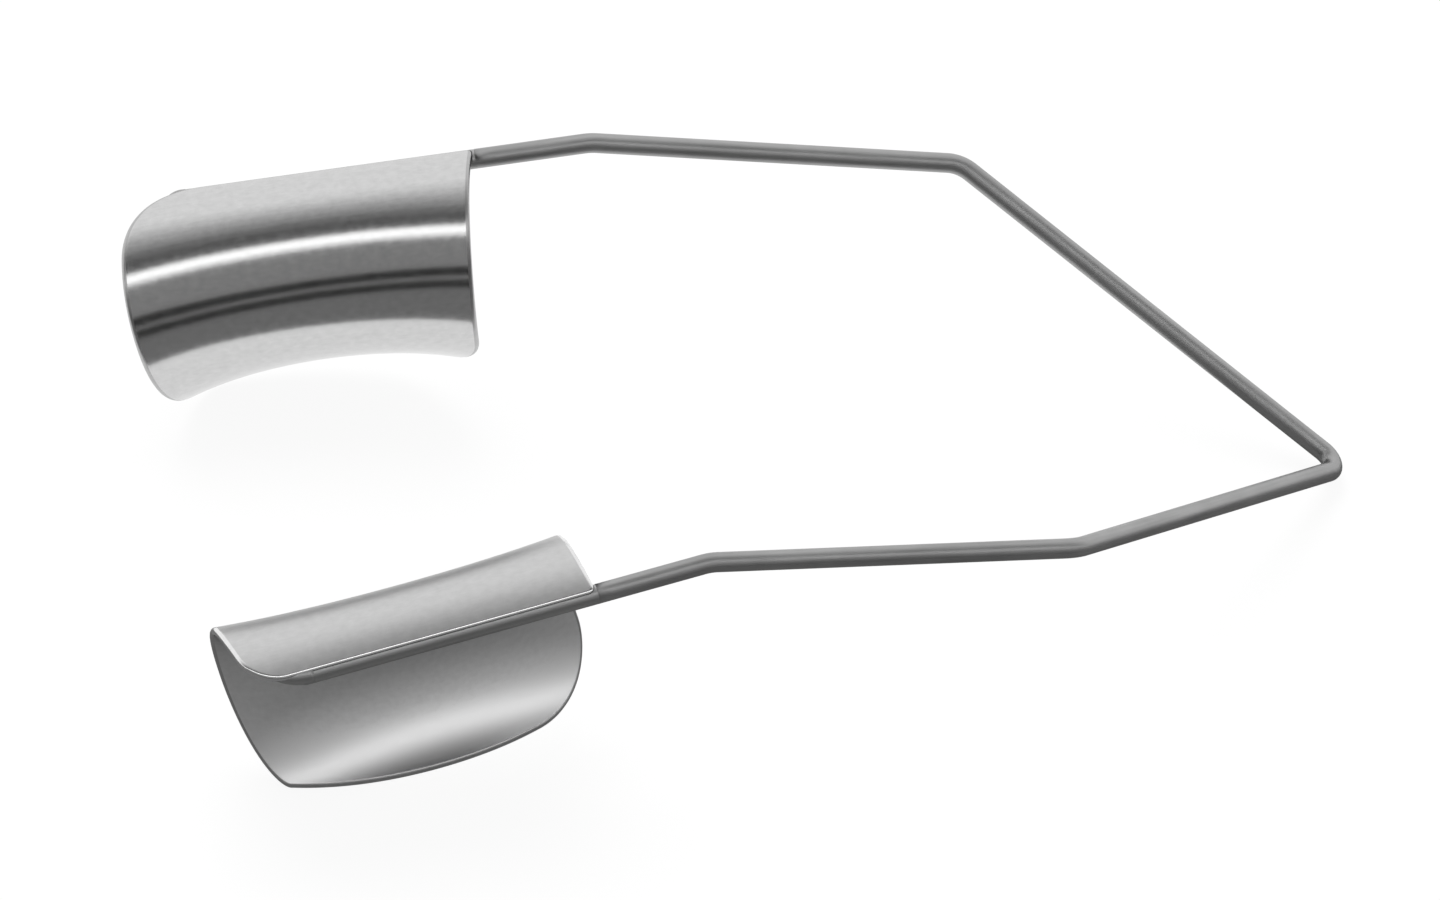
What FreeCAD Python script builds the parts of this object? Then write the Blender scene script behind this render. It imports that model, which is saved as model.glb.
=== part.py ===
import FreeCAD, Part
import math
import os

# Wire eyelid speculum: one bent spring wire with a solid sheet blade soldered
# along each of its two ends. All sizes are in millimetres and degrees.
# X runs from the blades towards the closed spring bend, Y runs across the
# arms and Z is up. But for the blades' rounded corners, the two halves are
# mirror images in the XZ plane.

# Spring wire, measured from the middle of the closed bend
WIRE_DIAMETER = 0.84
SHOULDER_REACH = 14.94
SHOULDER_HALF_SPREAD = 11.35
SHOULDER_RISE = 9.01
ELBOW_REACH = 30.91
ELBOW_HALF_SPREAD = 12.32
ELBOW_RISE = 11.49
APEX_BEND_RADIUS = 0.75
SHOULDER_BEND_RADIUS = 1.7
ELBOW_BEND_RADIUS = 1.9

# Last run of each arm, which carries the blade and is ground flat under it
ARM_SPLAY = 5.13
ARM_FALL = 8.52
ELBOW_TO_BLADE = 5.2
WIRE_END_SETBACK = 1.75
FLAT_DEPTH = 0.32
FLAT_LEAD = 0.31

# Sheet blade: a gutter with an egg-shaped section, open to the outside. Halfway
# along, its lower half is shallower and swings outwards.
SHEET_THICKNESS = 0.34
BLADE_LENGTH = 14.0
GUTTER_HALF_WIDTH = 3.91
UPPER_HALF_HEIGHT = 4.47
LOWER_HALF_HEIGHT = 5.91
SEAT_ANGLE = 110.5
LIP_OVERHANG = 0.09
LOWER_LIP_ANGLE = -67.1
MIDDLE_SWING = 13.2
MIDDLE_FLATTENING = 0.98

# Outline of the two blanks before forming. Their corners are rounded by hand,
# and each blank has its own.
TEMPORAL_LEAD = 0.27
UPPER_TEMPORAL_CORNER = 0.35
FAR_TEMPORAL_HOLLOW = 0.42
FAR_TEMPORAL_RAKE = 0.69
FAR_NASAL_LEAD = 0.08
FAR_NASAL_BULGE = 1.56
FAR_NASAL_RAKE = 1.22
FAR_UPPER_NASAL_CORNER = (3.35, 3.95)
FAR_LOWER_NASAL_CORNER = (2.24, 5.06)
FAR_LOWER_TEMPORAL_CORNER = (4.07, 3.62)
NEAR_TEMPORAL_HOLLOW = 0.64
NEAR_TEMPORAL_RAKE = -0.69
NEAR_NASAL_LEAD = 0.45
NEAR_NASAL_BULGE = 1.0
NEAR_NASAL_RAKE = 0.69
NEAR_UPPER_NASAL_CORNER = (1.5, 1.72)
NEAR_LOWER_NASAL_CORNER = (1.16, 4.36)
NEAR_LOWER_TEMPORAL_CORNER = (3.3, 3.05)

# Soldered seam between wire and blade
SOLDER_GAP = 0.035
SOLDER_SHRINK = 0.01

# Resolution of the formed surface
STATION_COUNT = 5
STATION_OVERRUN = 2.0
SECTION_POINTS = 9
ELLIPSE_HANDLE = 0.5523
SLOPE_STEP = 0.01
OFFSET_TOLERANCE = 0.0001
FACET_TOLERANCE = 0.02
CUTTER_SIZE = 2.0

WIRE_RADIUS = WIRE_DIAMETER / 2
MIRROR_PLANE_NORMAL = FreeCAD.Vector(0, 1, 0)
ORIGIN = FreeCAD.Vector(0, 0, 0)


def radians(angle):
    return math.radians(angle)


# Wire

def arm_direction():
    """Direction of the far arm's last run, towards the blade's nasal end."""
    level = math.cos(radians(ARM_FALL))
    return FreeCAD.Vector(
        -math.cos(radians(ARM_SPLAY)) * level,
        math.sin(radians(ARM_SPLAY)) * level,
        -math.sin(radians(ARM_FALL)),
    )


def far_arm_points():
    """Corner points of the far half of the wire's centre line, apex first."""
    apex = FreeCAD.Vector(0, 0, 0)
    shoulder = FreeCAD.Vector(-SHOULDER_REACH, SHOULDER_HALF_SPREAD, SHOULDER_RISE)
    elbow = FreeCAD.Vector(-ELBOW_REACH, ELBOW_HALF_SPREAD, ELBOW_RISE)
    end_run = ELBOW_TO_BLADE + BLADE_LENGTH - WIRE_END_SETBACK
    return [apex, shoulder, elbow, elbow + arm_direction() * end_run]


def mirrored(point):
    return FreeCAD.Vector(point.x, -point.y, point.z)


def bent_path(points, radii):
    """Straight runs through the points, joined by tangent arcs of the given radii."""
    edges = []
    start = points[0]
    for before, corner, after, radius in zip(points, points[1:], points[2:], radii):
        back = (before - corner).normalize()
        ahead = (after - corner).normalize()
        half_angle = back.getAngle(ahead) / 2
        tangent_length = radius / math.tan(half_angle)
        middle = (back + ahead).normalize()
        depth = radius / math.sin(half_angle) - radius
        arc_start = corner + back * tangent_length
        arc_end = corner + ahead * tangent_length
        edges.append(Part.LineSegment(start, arc_start).toShape())
        edges.append(Part.Arc(arc_start, corner + middle * depth, arc_end).toShape())
        start = arc_end
    edges.append(Part.LineSegment(start, points[-1]).toShape())
    return Part.Wire(edges)


def make_spring_wire():
    apex, shoulder, elbow, end = far_arm_points()
    points = [end, elbow, shoulder, apex, mirrored(shoulder), mirrored(elbow), mirrored(end)]
    radii = [
        ELBOW_BEND_RADIUS,
        SHOULDER_BEND_RADIUS,
        APEX_BEND_RADIUS,
        SHOULDER_BEND_RADIUS,
        ELBOW_BEND_RADIUS,
    ]
    path = bent_path(points, radii)
    section = Part.Wire(Part.makeCircle(WIRE_RADIUS, end, arm_direction()))
    rod = path.makePipeShell([section], True, False)
    rod = rod.fuse([Part.makeSphere(WIRE_RADIUS, end), Part.makeSphere(WIRE_RADIUS, mirrored(end))])
    cutter = placed(flat_cutter(), blade_placement())
    return rod.cut([cutter, cutter.mirror(ORIGIN, MIRROR_PLANE_NORMAL)])


# Blade, in its own frame: x along the wire from the blade's temporal end,
# y towards the space between the blades and z up, with the wire's axis on x

def section_point(angle, shrink):
    """Point of the section before it is seated, with its lower half height reduced by shrink."""
    half_height = (UPPER_HALF_HEIGHT + LOWER_HALF_HEIGHT - shrink) / 2
    excess = (UPPER_HALF_HEIGHT - LOWER_HALF_HEIGHT + shrink) / 2
    height = half_height * math.sin(angle) + excess * math.sin(angle) ** 2
    return FreeCAD.Vector(0, GUTTER_HALF_WIDTH * math.cos(angle), height)


def seat_normal(shrink):
    """Direction out of the convex side where the sheet sits on the wire."""
    seat = radians(SEAT_ANGLE)
    half_height = (UPPER_HALF_HEIGHT + LOWER_HALF_HEIGHT - shrink) / 2
    excess = (UPPER_HALF_HEIGHT - LOWER_HALF_HEIGHT + shrink) / 2
    steepness = math.cos(seat) * (half_height + 2 * excess * math.sin(seat))
    return FreeCAD.Vector(0, steepness, GUTTER_HALF_WIDTH * math.sin(seat)).normalize()


def flat_height():
    """Distance of the ground flat from the wire's axis."""
    return WIRE_RADIUS - FLAT_DEPTH


def sheet_point(x, angle):
    """Point of the sheet's middle surface at station x and section angle."""
    along = 2 * x / BLADE_LENGTH - 1
    middle = 1 - along * along
    shrink = MIDDLE_FLATTENING * middle
    offset = flat_height() + SOLDER_GAP + SHEET_THICKNESS / 2
    point = section_point(angle, shrink) - section_point(radians(SEAT_ANGLE), shrink)
    point = point + seat_normal(shrink) * offset
    share = (1 - math.cos(radians(SEAT_ANGLE) - angle)) / 2
    swing = radians(MIDDLE_SWING) * middle * share
    return FreeCAD.Vector(
        x,
        point.y * math.cos(swing) + point.z * math.sin(swing),
        point.z * math.cos(swing) - point.y * math.sin(swing),
    )


def sheet_curve(x):
    """Middle line of the sheet at station x, from the upper lip to the lower one."""
    shares = [index / (SECTION_POINTS - 1) for index in range(SECTION_POINTS)]
    top = upper_lip_angle()
    bottom = radians(LOWER_LIP_ANGLE)
    curve = Part.BSplineCurve()
    points = [sheet_point(x, top + (bottom - top) * share) for share in shares]
    curve.interpolate(Points=points, Parameters=shares)
    return curve


def mean_radius():
    return (2 * GUTTER_HALF_WIDTH + UPPER_HALF_HEIGHT + LOWER_HALF_HEIGHT) / 4


def upper_lip_angle():
    return radians(SEAT_ANGLE) + LIP_OVERHANG / mean_radius()


def girth():
    """Developed width of the blank, from lip to lip."""
    return mean_radius() * (upper_lip_angle() - radians(LOWER_LIP_ANGLE))


def blank_point(x, around):
    """Place on the formed sheet of the blank's point x along and around from the upper lip."""
    return sheet_point(x, upper_lip_angle() - around / mean_radius())


class EndEdge:
    """One end of a blank: a shallow arch between the lips, with a rounded corner at each."""

    def __init__(self, start, rise, rake, upper_corner, lower_corner):
        self.start = start
        self.rise = rise
        self.rake = rake
        self.upper_corner = upper_corner
        self.lower_corner = lower_corner

    def at(self, around):
        """Place along the blade of the edge, at a distance around from the upper lip."""
        share = around / girth()
        return self.start + 4 * self.rise * share * (1 - share) + self.rake * share

    def slope(self, around):
        return (self.at(around + SLOPE_STEP) - self.at(around - SLOPE_STEP)) / (2 * SLOPE_STEP)

    def tip(self, around, lip):
        """Where the tangent of the edge meets the lip line."""
        return self.at(around) + self.slope(around) * (lip - around), lip


class Blank:
    """Outline of the blank drawn on the formed surface."""

    def __init__(self, surface):
        self.surface = surface
        self.curves = []

    def place(self, point):
        return FreeCAD.Base.Vector2d(*self.surface.parameter(blank_point(*point)))

    def curve(self, points):
        bezier = Part.Geom2d.BezierCurve2d()
        bezier.setPoles([self.place(point) for point in points])
        self.curves.append(bezier.toShape(self.surface))

    def corner(self, start, tip, end):
        handles = [mix(start, tip, ELLIPSE_HANDLE), mix(end, tip, ELLIPSE_HANDLE)]
        self.curve([start] + handles + [end])

    def arch(self, edge, start, end):
        middle = (start + end) / 2
        tip = 2 * edge.at(middle) - (edge.at(start) + edge.at(end)) / 2
        self.curve([(edge.at(start), start), (tip, middle), (edge.at(end), end)])


def mix(start, end, share):
    return tuple(a + (b - a) * share for a, b in zip(start, end))


def blank_outline(surface, temporal, nasal):
    """Closed outline of a blank on the formed surface, from its two end edges."""
    lower = girth()
    nasal_top = nasal.upper_corner[1]
    nasal_bottom = lower - nasal.lower_corner[1]
    temporal_top = temporal.upper_corner[1]
    temporal_bottom = lower - temporal.lower_corner[1]
    upper_nasal = nasal.tip(nasal_top, 0)
    lower_nasal = nasal.tip(nasal_bottom, lower)
    upper_temporal = temporal.tip(temporal_top, 0)
    lower_temporal = temporal.tip(temporal_bottom, lower)

    upper_lip_start = (upper_temporal[0] + temporal.upper_corner[0], 0)
    upper_lip_end = (upper_nasal[0] - nasal.upper_corner[0], 0)
    lower_lip_start = (lower_nasal[0] - nasal.lower_corner[0], lower)
    lower_lip_end = (lower_temporal[0] + temporal.lower_corner[0], lower)

    blank = Blank(surface)
    blank.curve([upper_lip_start, upper_lip_end])
    blank.corner(upper_lip_end, upper_nasal, (nasal.at(nasal_top), nasal_top))
    blank.arch(nasal, nasal_top, nasal_bottom)
    blank.corner((nasal.at(nasal_bottom), nasal_bottom), lower_nasal, lower_lip_start)
    blank.curve([lower_lip_start, lower_lip_end])
    blank.corner(lower_lip_end, lower_temporal, (temporal.at(temporal_bottom), temporal_bottom))
    blank.arch(temporal, temporal_bottom, temporal_top)
    blank.corner((temporal.at(temporal_top), temporal_top), upper_temporal, upper_lip_start)
    return Part.Wire(blank.curves)


def formed_surface():
    first = -STATION_OVERRUN
    step = (BLADE_LENGTH + 2 * STATION_OVERRUN) / (STATION_COUNT - 1)
    curves = [sheet_curve(first + step * index) for index in range(STATION_COUNT)]
    loft = Part.makeLoft([Part.Wire(curve.toShape()) for curve in curves], False, False)
    return loft.Faces[0].Surface


def make_blade(surface, temporal, nasal):
    """Trimmed middle surface, thickened both ways."""
    middle = Part.Face(surface, blank_outline(surface, temporal, nasal))
    inner = middle.makeOffsetShape(-SHEET_THICKNESS / 2, OFFSET_TOLERANCE)
    sheet = inner.makeOffsetShape(SHEET_THICKNESS, OFFSET_TOLERANCE, fill=True)
    return Part.Solid(Part.Shell(sheet.Faces)).toNurbs()


def flat_cutter():
    """Block that grinds the flat for the far blade, in the blade's frame."""
    normal = seat_normal(0)
    across = FreeCAD.Vector(0, normal.z, -normal.y)
    length = FLAT_LEAD + BLADE_LENGTH
    block = Part.makeBox(length, CUTTER_SIZE, CUTTER_SIZE)
    block.translate(FreeCAD.Vector(-FLAT_LEAD, -CUTTER_SIZE / 2, flat_height()))
    matrix = FreeCAD.Matrix(
        1, 0, 0, 0,
        0, across.y, normal.y, 0,
        0, across.z, normal.z, 0,
    )
    return placed(block, FreeCAD.Placement(matrix))


# Soldered seam, in the blade's frame

def make_solder_bead(blade):
    """Solder that fills the gap and rounds the wire off again where the flat was ground."""
    start = FreeCAD.Vector(-FLAT_LEAD, 0, 0)
    along = FreeCAD.Vector(1, 0, 0)
    length = FLAT_LEAD + BLADE_LENGTH - WIRE_END_SETBACK
    rod = Part.makeCylinder(WIRE_RADIUS - SOLDER_SHRINK, length, start, along)
    return rod.common(flat_cutter()).cut(blade)


# Assembly

def blade_placement():
    """Placement of the far blade's frame."""
    along = arm_direction()
    inward = FreeCAD.Vector(-math.sin(radians(ARM_SPLAY)), -math.cos(radians(ARM_SPLAY)), 0)
    up = along.cross(inward)
    start = far_arm_points()[2] + along * ELBOW_TO_BLADE
    matrix = FreeCAD.Matrix(
        along.x, inward.x, up.x, start.x,
        along.y, inward.y, up.y, start.y,
        along.z, inward.z, up.z, start.z,
    )
    return FreeCAD.Placement(matrix)


def placed(shape, placement):
    copy = shape.copy()
    copy.Placement = placement.multiply(copy.Placement)
    return copy


def make_parts():
    surface = formed_surface()
    far = make_blade(
        surface,
        EndEdge(
            -TEMPORAL_LEAD, FAR_TEMPORAL_HOLLOW, FAR_TEMPORAL_RAKE,
            (UPPER_TEMPORAL_CORNER, UPPER_TEMPORAL_CORNER), FAR_LOWER_TEMPORAL_CORNER,
        ),
        EndEdge(
            BLADE_LENGTH + FAR_NASAL_LEAD, FAR_NASAL_BULGE, -FAR_NASAL_RAKE,
            FAR_UPPER_NASAL_CORNER, FAR_LOWER_NASAL_CORNER,
        ),
    )
    near = make_blade(
        surface,
        EndEdge(
            -TEMPORAL_LEAD, NEAR_TEMPORAL_HOLLOW, NEAR_TEMPORAL_RAKE,
            (UPPER_TEMPORAL_CORNER, UPPER_TEMPORAL_CORNER), NEAR_LOWER_TEMPORAL_CORNER,
        ),
        EndEdge(
            BLADE_LENGTH + NEAR_NASAL_LEAD, NEAR_NASAL_BULGE, -NEAR_NASAL_RAKE,
            NEAR_UPPER_NASAL_CORNER, NEAR_LOWER_NASAL_CORNER,
        ),
    )
    placement = blade_placement()
    near_parts = [placed(near, placement), placed(make_solder_bead(near), placement)]
    near_blade, near_seam = [part.mirror(ORIGIN, MIRROR_PLANE_NORMAL) for part in near_parts]
    return {
        "spring_wire": make_spring_wire(),
        "far_blade": placed(far, placement),
        "near_blade": near_blade,
        "far_solder_seam": placed(make_solder_bead(far), placement),
        "near_solder_seam": near_seam,
    }


def outer_box(parts):
    """Box round all the parts, measured on fine facets."""
    points = [point for shape in parts.values() for point in shape.tessellate(FACET_TOLERANCE)[0]]
    box = FreeCAD.BoundBox()
    for point in points:
        box.add(point)
    return box


def stand_on_origin(parts):
    """Moves the whole object so that the origin is under the middle of its footprint."""
    box = outer_box(parts)
    shift = FreeCAD.Vector(-(box.XMin + box.XMax) / 2, -(box.YMin + box.YMax) / 2, -box.ZMin)
    for shape in parts.values():
        shape.translate(shift)


def main():
    parts = make_parts()
    stand_on_origin(parts)
    os.makedirs("parts", exist_ok=True)
    for name, shape in parts.items():
        shape.exportStep(os.path.join("parts", name + ".step"))
        print(name, "valid", shape.isValid(), "solids", len(shape.Solids), "volume", round(shape.Volume, 3))
    box = outer_box(parts)
    print("size", round(box.XLength, 2), round(box.YLength, 2), round(box.ZLength, 2))


main()
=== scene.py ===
"""Looks of a wire eyelid speculum: satin steel blades and a drawn spring wire on a pale table.

All lengths are in metres and all angles in degrees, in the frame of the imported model.
"""

import logging
import math
from dataclasses import dataclass, replace
from enum import Enum, IntEnum
from typing import Any

import bpy
import numpy as np
from mathutils import Matrix, Vector


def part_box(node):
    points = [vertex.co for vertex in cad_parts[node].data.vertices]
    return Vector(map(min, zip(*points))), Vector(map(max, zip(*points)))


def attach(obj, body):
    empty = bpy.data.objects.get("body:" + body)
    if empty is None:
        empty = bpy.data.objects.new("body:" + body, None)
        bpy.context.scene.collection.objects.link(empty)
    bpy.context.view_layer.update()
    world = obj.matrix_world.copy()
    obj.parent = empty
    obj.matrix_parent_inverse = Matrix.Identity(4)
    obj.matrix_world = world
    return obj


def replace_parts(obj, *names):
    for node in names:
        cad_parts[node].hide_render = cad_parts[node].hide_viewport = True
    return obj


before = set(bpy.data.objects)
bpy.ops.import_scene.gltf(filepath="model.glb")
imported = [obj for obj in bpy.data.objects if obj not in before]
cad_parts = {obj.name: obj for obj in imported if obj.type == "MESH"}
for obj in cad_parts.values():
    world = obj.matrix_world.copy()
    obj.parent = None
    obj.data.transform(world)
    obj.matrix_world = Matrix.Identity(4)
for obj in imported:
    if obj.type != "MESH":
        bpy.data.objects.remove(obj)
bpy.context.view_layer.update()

BODY = "root"
GRAIN = "grain"
NUMERIC_STEP = 1e-6
MIRROR = np.array([1.0, -1.0, 1.0])
BLADE_LENGTH = 0.014
QUAD_CORNERS = 4
WHITE = (1.0, 1.0, 1.0, 1.0)
NOISE_MIDDLE = 0.5
MOTTLE_DETAIL = 4.0
GRAIN_DETAIL = 3.0
DARK_SOCKET, LIGHT_SOCKET, MIXED_SOCKET = 6, 7, 2

log = logging.getLogger("speculum")


class Side(Enum):
    """Which half of the instrument a piece belongs to, with the sign of its Y."""

    FAR = 1
    NEAR = -1

    @property
    def word(self) -> str:
        """The word that starts the names of this side's pieces."""
        return self.name.lower()


class Zone(IntEnum):
    """Parts of a blade that have finishes of their own, numbered as its materials are."""

    OUTSIDE = 0
    INSIDE = 1
    LIP_RIM = 2
    EDGE_RIM = 3


def unit(vectors: np.ndarray) -> np.ndarray:
    """Scales vectors to length one.

    Args:
        vectors: one vector, or an array whose last axis holds vectors.

    Returns:
        The vectors at unit length, in the same layout.
    """
    return vectors / np.linalg.norm(vectors, axis=-1, keepdims=True)


def rows_of(columns: list[Any]) -> np.ndarray:
    """Stacks three coordinate arrays into an array of points, in the layout of the first."""
    return np.stack(np.broadcast_arrays(*columns), axis=-1)


class Value:
    """A socket of a node tree that takes part in Python arithmetic."""

    def __init__(self, shader: "Shader", socket: bpy.types.NodeSocket | None) -> None:
        """Wraps a socket.

        Args:
            shader: the graph that the socket belongs to.
            socket: an output socket, or None for a node that has none.
        """
        self.shader = shader
        self.socket = socket

    def _math(self, operation: str, first: Any, second: Any) -> "Value":
        """Adds a Math node and returns its result."""
        return self.shader.node("ShaderNodeMath", {"operation": operation}, {0: first, 1: second})

    def __add__(self, other: Any) -> "Value":
        """This value plus another."""
        return self._math("ADD", self, other)

    def __radd__(self, other: Any) -> "Value":
        """A number plus this value."""
        return self._math("ADD", other, self)

    def __sub__(self, other: Any) -> "Value":
        """This value minus another."""
        return self._math("SUBTRACT", self, other)

    def __rsub__(self, other: Any) -> "Value":
        """A number minus this value."""
        return self._math("SUBTRACT", other, self)

    def __mul__(self, other: Any) -> "Value":
        """This value times another."""
        return self._math("MULTIPLY", self, other)

    def __rmul__(self, other: Any) -> "Value":
        """A number times this value."""
        return self._math("MULTIPLY", other, self)

    def at_least(self, other: Any) -> "Value":
        """The larger of this value and another."""
        return self._math("MAXIMUM", self, other)

    def at_most(self, other: Any) -> "Value":
        """The smaller of this value and another."""
        return self._math("MINIMUM", self, other)


class Shader:
    """A node tree of a material or a world, emptied and built anew."""

    def __init__(self, tree: bpy.types.NodeTree) -> None:
        """Starts an empty graph.

        Args:
            tree: the node tree to fill.
        """
        self.tree = tree
        self.tree.nodes.clear()

    def node(
        self, kind: str, settings: dict[str, Any], sockets: dict[Any, Any], output: Any = 0
    ) -> Value:
        """Adds one node.

        Args:
            kind: the node's type name.
            settings: the node's own properties, set before its sockets.
            sockets: input socket name or number to a value or a link.
            output: name or number of the output socket to hand back.

        Returns:
            The chosen output socket, or an empty value for a node that has none.
        """
        node = self.tree.nodes.new(kind)
        for name, setting in settings.items():
            setattr(node, name, setting)
        for key, given in sockets.items():
            if isinstance(given, Value):
                self.tree.links.new(given.socket, node.inputs[key])
            else:
                node.inputs[key].default_value = given
        return Value(self, node.outputs[output] if len(node.outputs) else None)

    def noise(self, place: Value, scale: float, detail: float) -> Value:
        """Soft random mottling, about 0.5 in the middle.

        Args:
            place: the coordinates that it is laid out in.
            scale: cells for each unit of those coordinates.
            detail: how many finer layers it has.

        Returns:
            The noise as a number from 0 to 1.
        """
        return self.node("ShaderNodeTexNoise", {}, {"Vector": place, "Scale": scale, "Detail": detail})

    def part(self, place: Value, axis: str) -> Value:
        """One coordinate of a place."""
        return self.node("ShaderNodeSeparateXYZ", {}, {"Vector": place}, axis)

    def stretched(self, place: Value, scale: tuple[float, float, float]) -> Value:
        """The coordinates multiplied axis by axis."""
        return self.node("ShaderNodeVectorMath", {"operation": "MULTIPLY"}, {0: place, 1: scale})

    def grey_mix(self, share: Value, dark: float, light: float) -> Value:
        """A neutral colour between two shades.

        Args:
            share: 0 for the dark shade, 1 for the light one.
            dark: the dark shade.
            light: the light shade.

        Returns:
            The mixed colour.
        """
        shades = {DARK_SOCKET: (dark, dark, dark, 1.0), LIGHT_SOCKET: (light, light, light, 1.0)}
        sockets = {"Factor": share, **shades}
        return self.node("ShaderNodeMix", {"data_type": "RGBA"}, sockets, MIXED_SOCKET)

    def blend(self, share: Value, first: Value, second: Value) -> Value:
        """One surface where the share is 0 and another where it is 1."""
        return self.node("ShaderNodeMixShader", {}, {0: share, 1: first, 2: second})


def empty_material(name: str) -> tuple[bpy.types.Material, Shader]:
    """Makes a material without nodes.

    Args:
        name: the material's name.

    Returns:
        The material and the graph that builds it.
    """
    material = bpy.data.materials.new(name)
    material.use_nodes = True
    return material, Shader(material.node_tree)


def linked(name: str, data: bpy.types.ID) -> bpy.types.Object:
    """Makes an object of a mesh, a lamp or a camera.

    Args:
        name: the object's name.
        data: what it shows.

    Returns:
        The object, linked to the scene.
    """
    made = bpy.data.objects.new(name, data)
    bpy.context.scene.collection.objects.link(made)
    return made


def seen_directly(shader: Shader) -> Value:
    """Tells rays that show the background as itself, also in metal and glass.

    Args:
        shader: the graph of the background's material or of the world.

    Returns:
        1 for such rays, else 0.
    """
    kinds = ("Camera", "Glossy", "Transmission")
    rays = [shader.node("ShaderNodeLightPath", {}, {}, f"Is {kind} Ray") for kind in kinds]
    return (rays[0] + rays[1] + rays[2]).at_most(1.0)


def seen_again(shader: Shader) -> Value:
    """Tells rays that two or more reflections led here.

    Args:
        shader: the graph of a card's material or of the world.

    Returns:
        1 for such rays, else 0.
    """
    reflections = shader.node("ShaderNodeLightPath", {}, {}, "Glossy Depth")
    return (reflections - 1.0).at_least(0.0).at_most(1.0)


@dataclass(frozen=True)
class SatinSteel:
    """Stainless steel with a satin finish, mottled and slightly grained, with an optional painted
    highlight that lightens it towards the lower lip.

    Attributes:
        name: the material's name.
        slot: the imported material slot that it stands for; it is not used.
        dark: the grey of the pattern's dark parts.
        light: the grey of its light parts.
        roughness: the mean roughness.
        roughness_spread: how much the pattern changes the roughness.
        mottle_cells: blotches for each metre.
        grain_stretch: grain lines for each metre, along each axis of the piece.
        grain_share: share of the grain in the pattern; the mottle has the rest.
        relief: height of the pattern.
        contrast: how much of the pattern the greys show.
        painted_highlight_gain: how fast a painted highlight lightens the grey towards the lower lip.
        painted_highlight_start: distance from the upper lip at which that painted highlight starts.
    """

    name: str
    slot: str
    dark: float
    light: float
    roughness: float
    roughness_spread: float
    mottle_cells: float
    grain_stretch: tuple[float, float, float]
    grain_share: float
    relief: float
    contrast: float = 1.0
    painted_highlight_gain: float = 0.0
    painted_highlight_start: float = 0.0

    def material(self) -> bpy.types.Material:
        """Builds the material.

        Returns:
            The finished material, with its colour, roughness and relief from its nodes.
        """
        material, shader = empty_material(self.name)
        place = shader.node("ShaderNodeAttribute", {"attribute_name": GRAIN}, {}, "Vector")
        mottle = shader.noise(place, self.mottle_cells, MOTTLE_DETAIL)
        streak = shader.noise(shader.stretched(place, self.grain_stretch), 1.0, GRAIN_DETAIL)
        pattern = mottle * (1 - self.grain_share) + streak * self.grain_share
        # painted highlight: the grey lightens with distance round the section past its start
        painted_highlight = (shader.part(place, "Y") - self.painted_highlight_start) * self.painted_highlight_gain
        swing = pattern - NOISE_MIDDLE
        tone = swing * self.contrast + NOISE_MIDDLE
        colour = shader.grey_mix(tone + painted_highlight.at_least(0.0), self.dark, self.light)
        roughness = self.roughness + swing * self.roughness_spread
        bump = {"Height": pattern, "Distance": self.relief, "Strength": 1.0}
        normal = shader.node("ShaderNodeBump", {}, bump)
        inputs = {"Base Color": colour, "Metallic": 1.0, "Roughness": roughness, "Normal": normal}
        surface = shader.node("ShaderNodeBsdfPrincipled", {}, inputs)
        shader.node("ShaderNodeOutputMaterial", {}, {"Surface": surface})
        return material


BLADE_STEEL = SatinSteel(
    name="blade_satin",
    slot="blade_steel",
    dark=0.52,
    light=0.74,
    roughness=0.17,
    roughness_spread=0.12,
    mottle_cells=2600.0,
    grain_stretch=(2500.0, 9000.0, 9000.0),
    grain_share=0.35,
    relief=0.0000016,
)
SOFT_BLADE_STEEL = replace(BLADE_STEEL, name="blade_soft_satin", roughness=0.4)
# Inside of the gutter: its grey lightens steeply towards the lower lip, a painted highlight.
GUTTER_STEEL = replace(
    BLADE_STEEL,
    name="blade_matt",
    dark=0.3,
    light=0.96,
    roughness=0.4,
    roughness_spread=0.08,
    mottle_cells=4200.0,
    grain_share=0.3,
    relief=0.0000006,
    contrast=0.35,
    painted_highlight_gain=105.0,
    painted_highlight_start=0.0072,
)
BRIGHT_RIM = replace(
    BLADE_STEEL,
    name="rim_polished",
    dark=0.7,
    light=0.9,
    roughness=0.16,
    roughness_spread=0.06,
    grain_share=0.3,
    relief=0.000001,
)
# A rougher copy of the polished rim whose darker grey is painted shade, used on the far lip and on the
# end and lower rims.
PAINTED_SHADE_RIM = replace(
    BRIGHT_RIM, name="rim_ground", dark=0.4, light=0.58, roughness=0.34, roughness_spread=0.1
)
WIRE_STEEL = SatinSteel(
    name="wire_drawn",
    slot="wire_steel",
    dark=0.25,
    light=0.58,
    roughness=0.46,
    roughness_spread=0.06,
    mottle_cells=900.0,
    grain_stretch=(200.0, 4000.0, 4000.0),
    grain_share=0.75,
    relief=0.0000004,
)
SOLDER = replace(WIRE_STEEL, name="solder_blended", slot="hard_solder", dark=0.3, light=0.6)
# Outside, inside, lip rim and other rims of each blade; the far lip's rim is darker than the near
# lip's by painted shade.
BLADE_FINISHES = {
    Side.FAR: (BLADE_STEEL, GUTTER_STEEL, PAINTED_SHADE_RIM, PAINTED_SHADE_RIM),
    Side.NEAR: (SOFT_BLADE_STEEL, GUTTER_STEEL, BRIGHT_RIM, PAINTED_SHADE_RIM),
}


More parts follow.
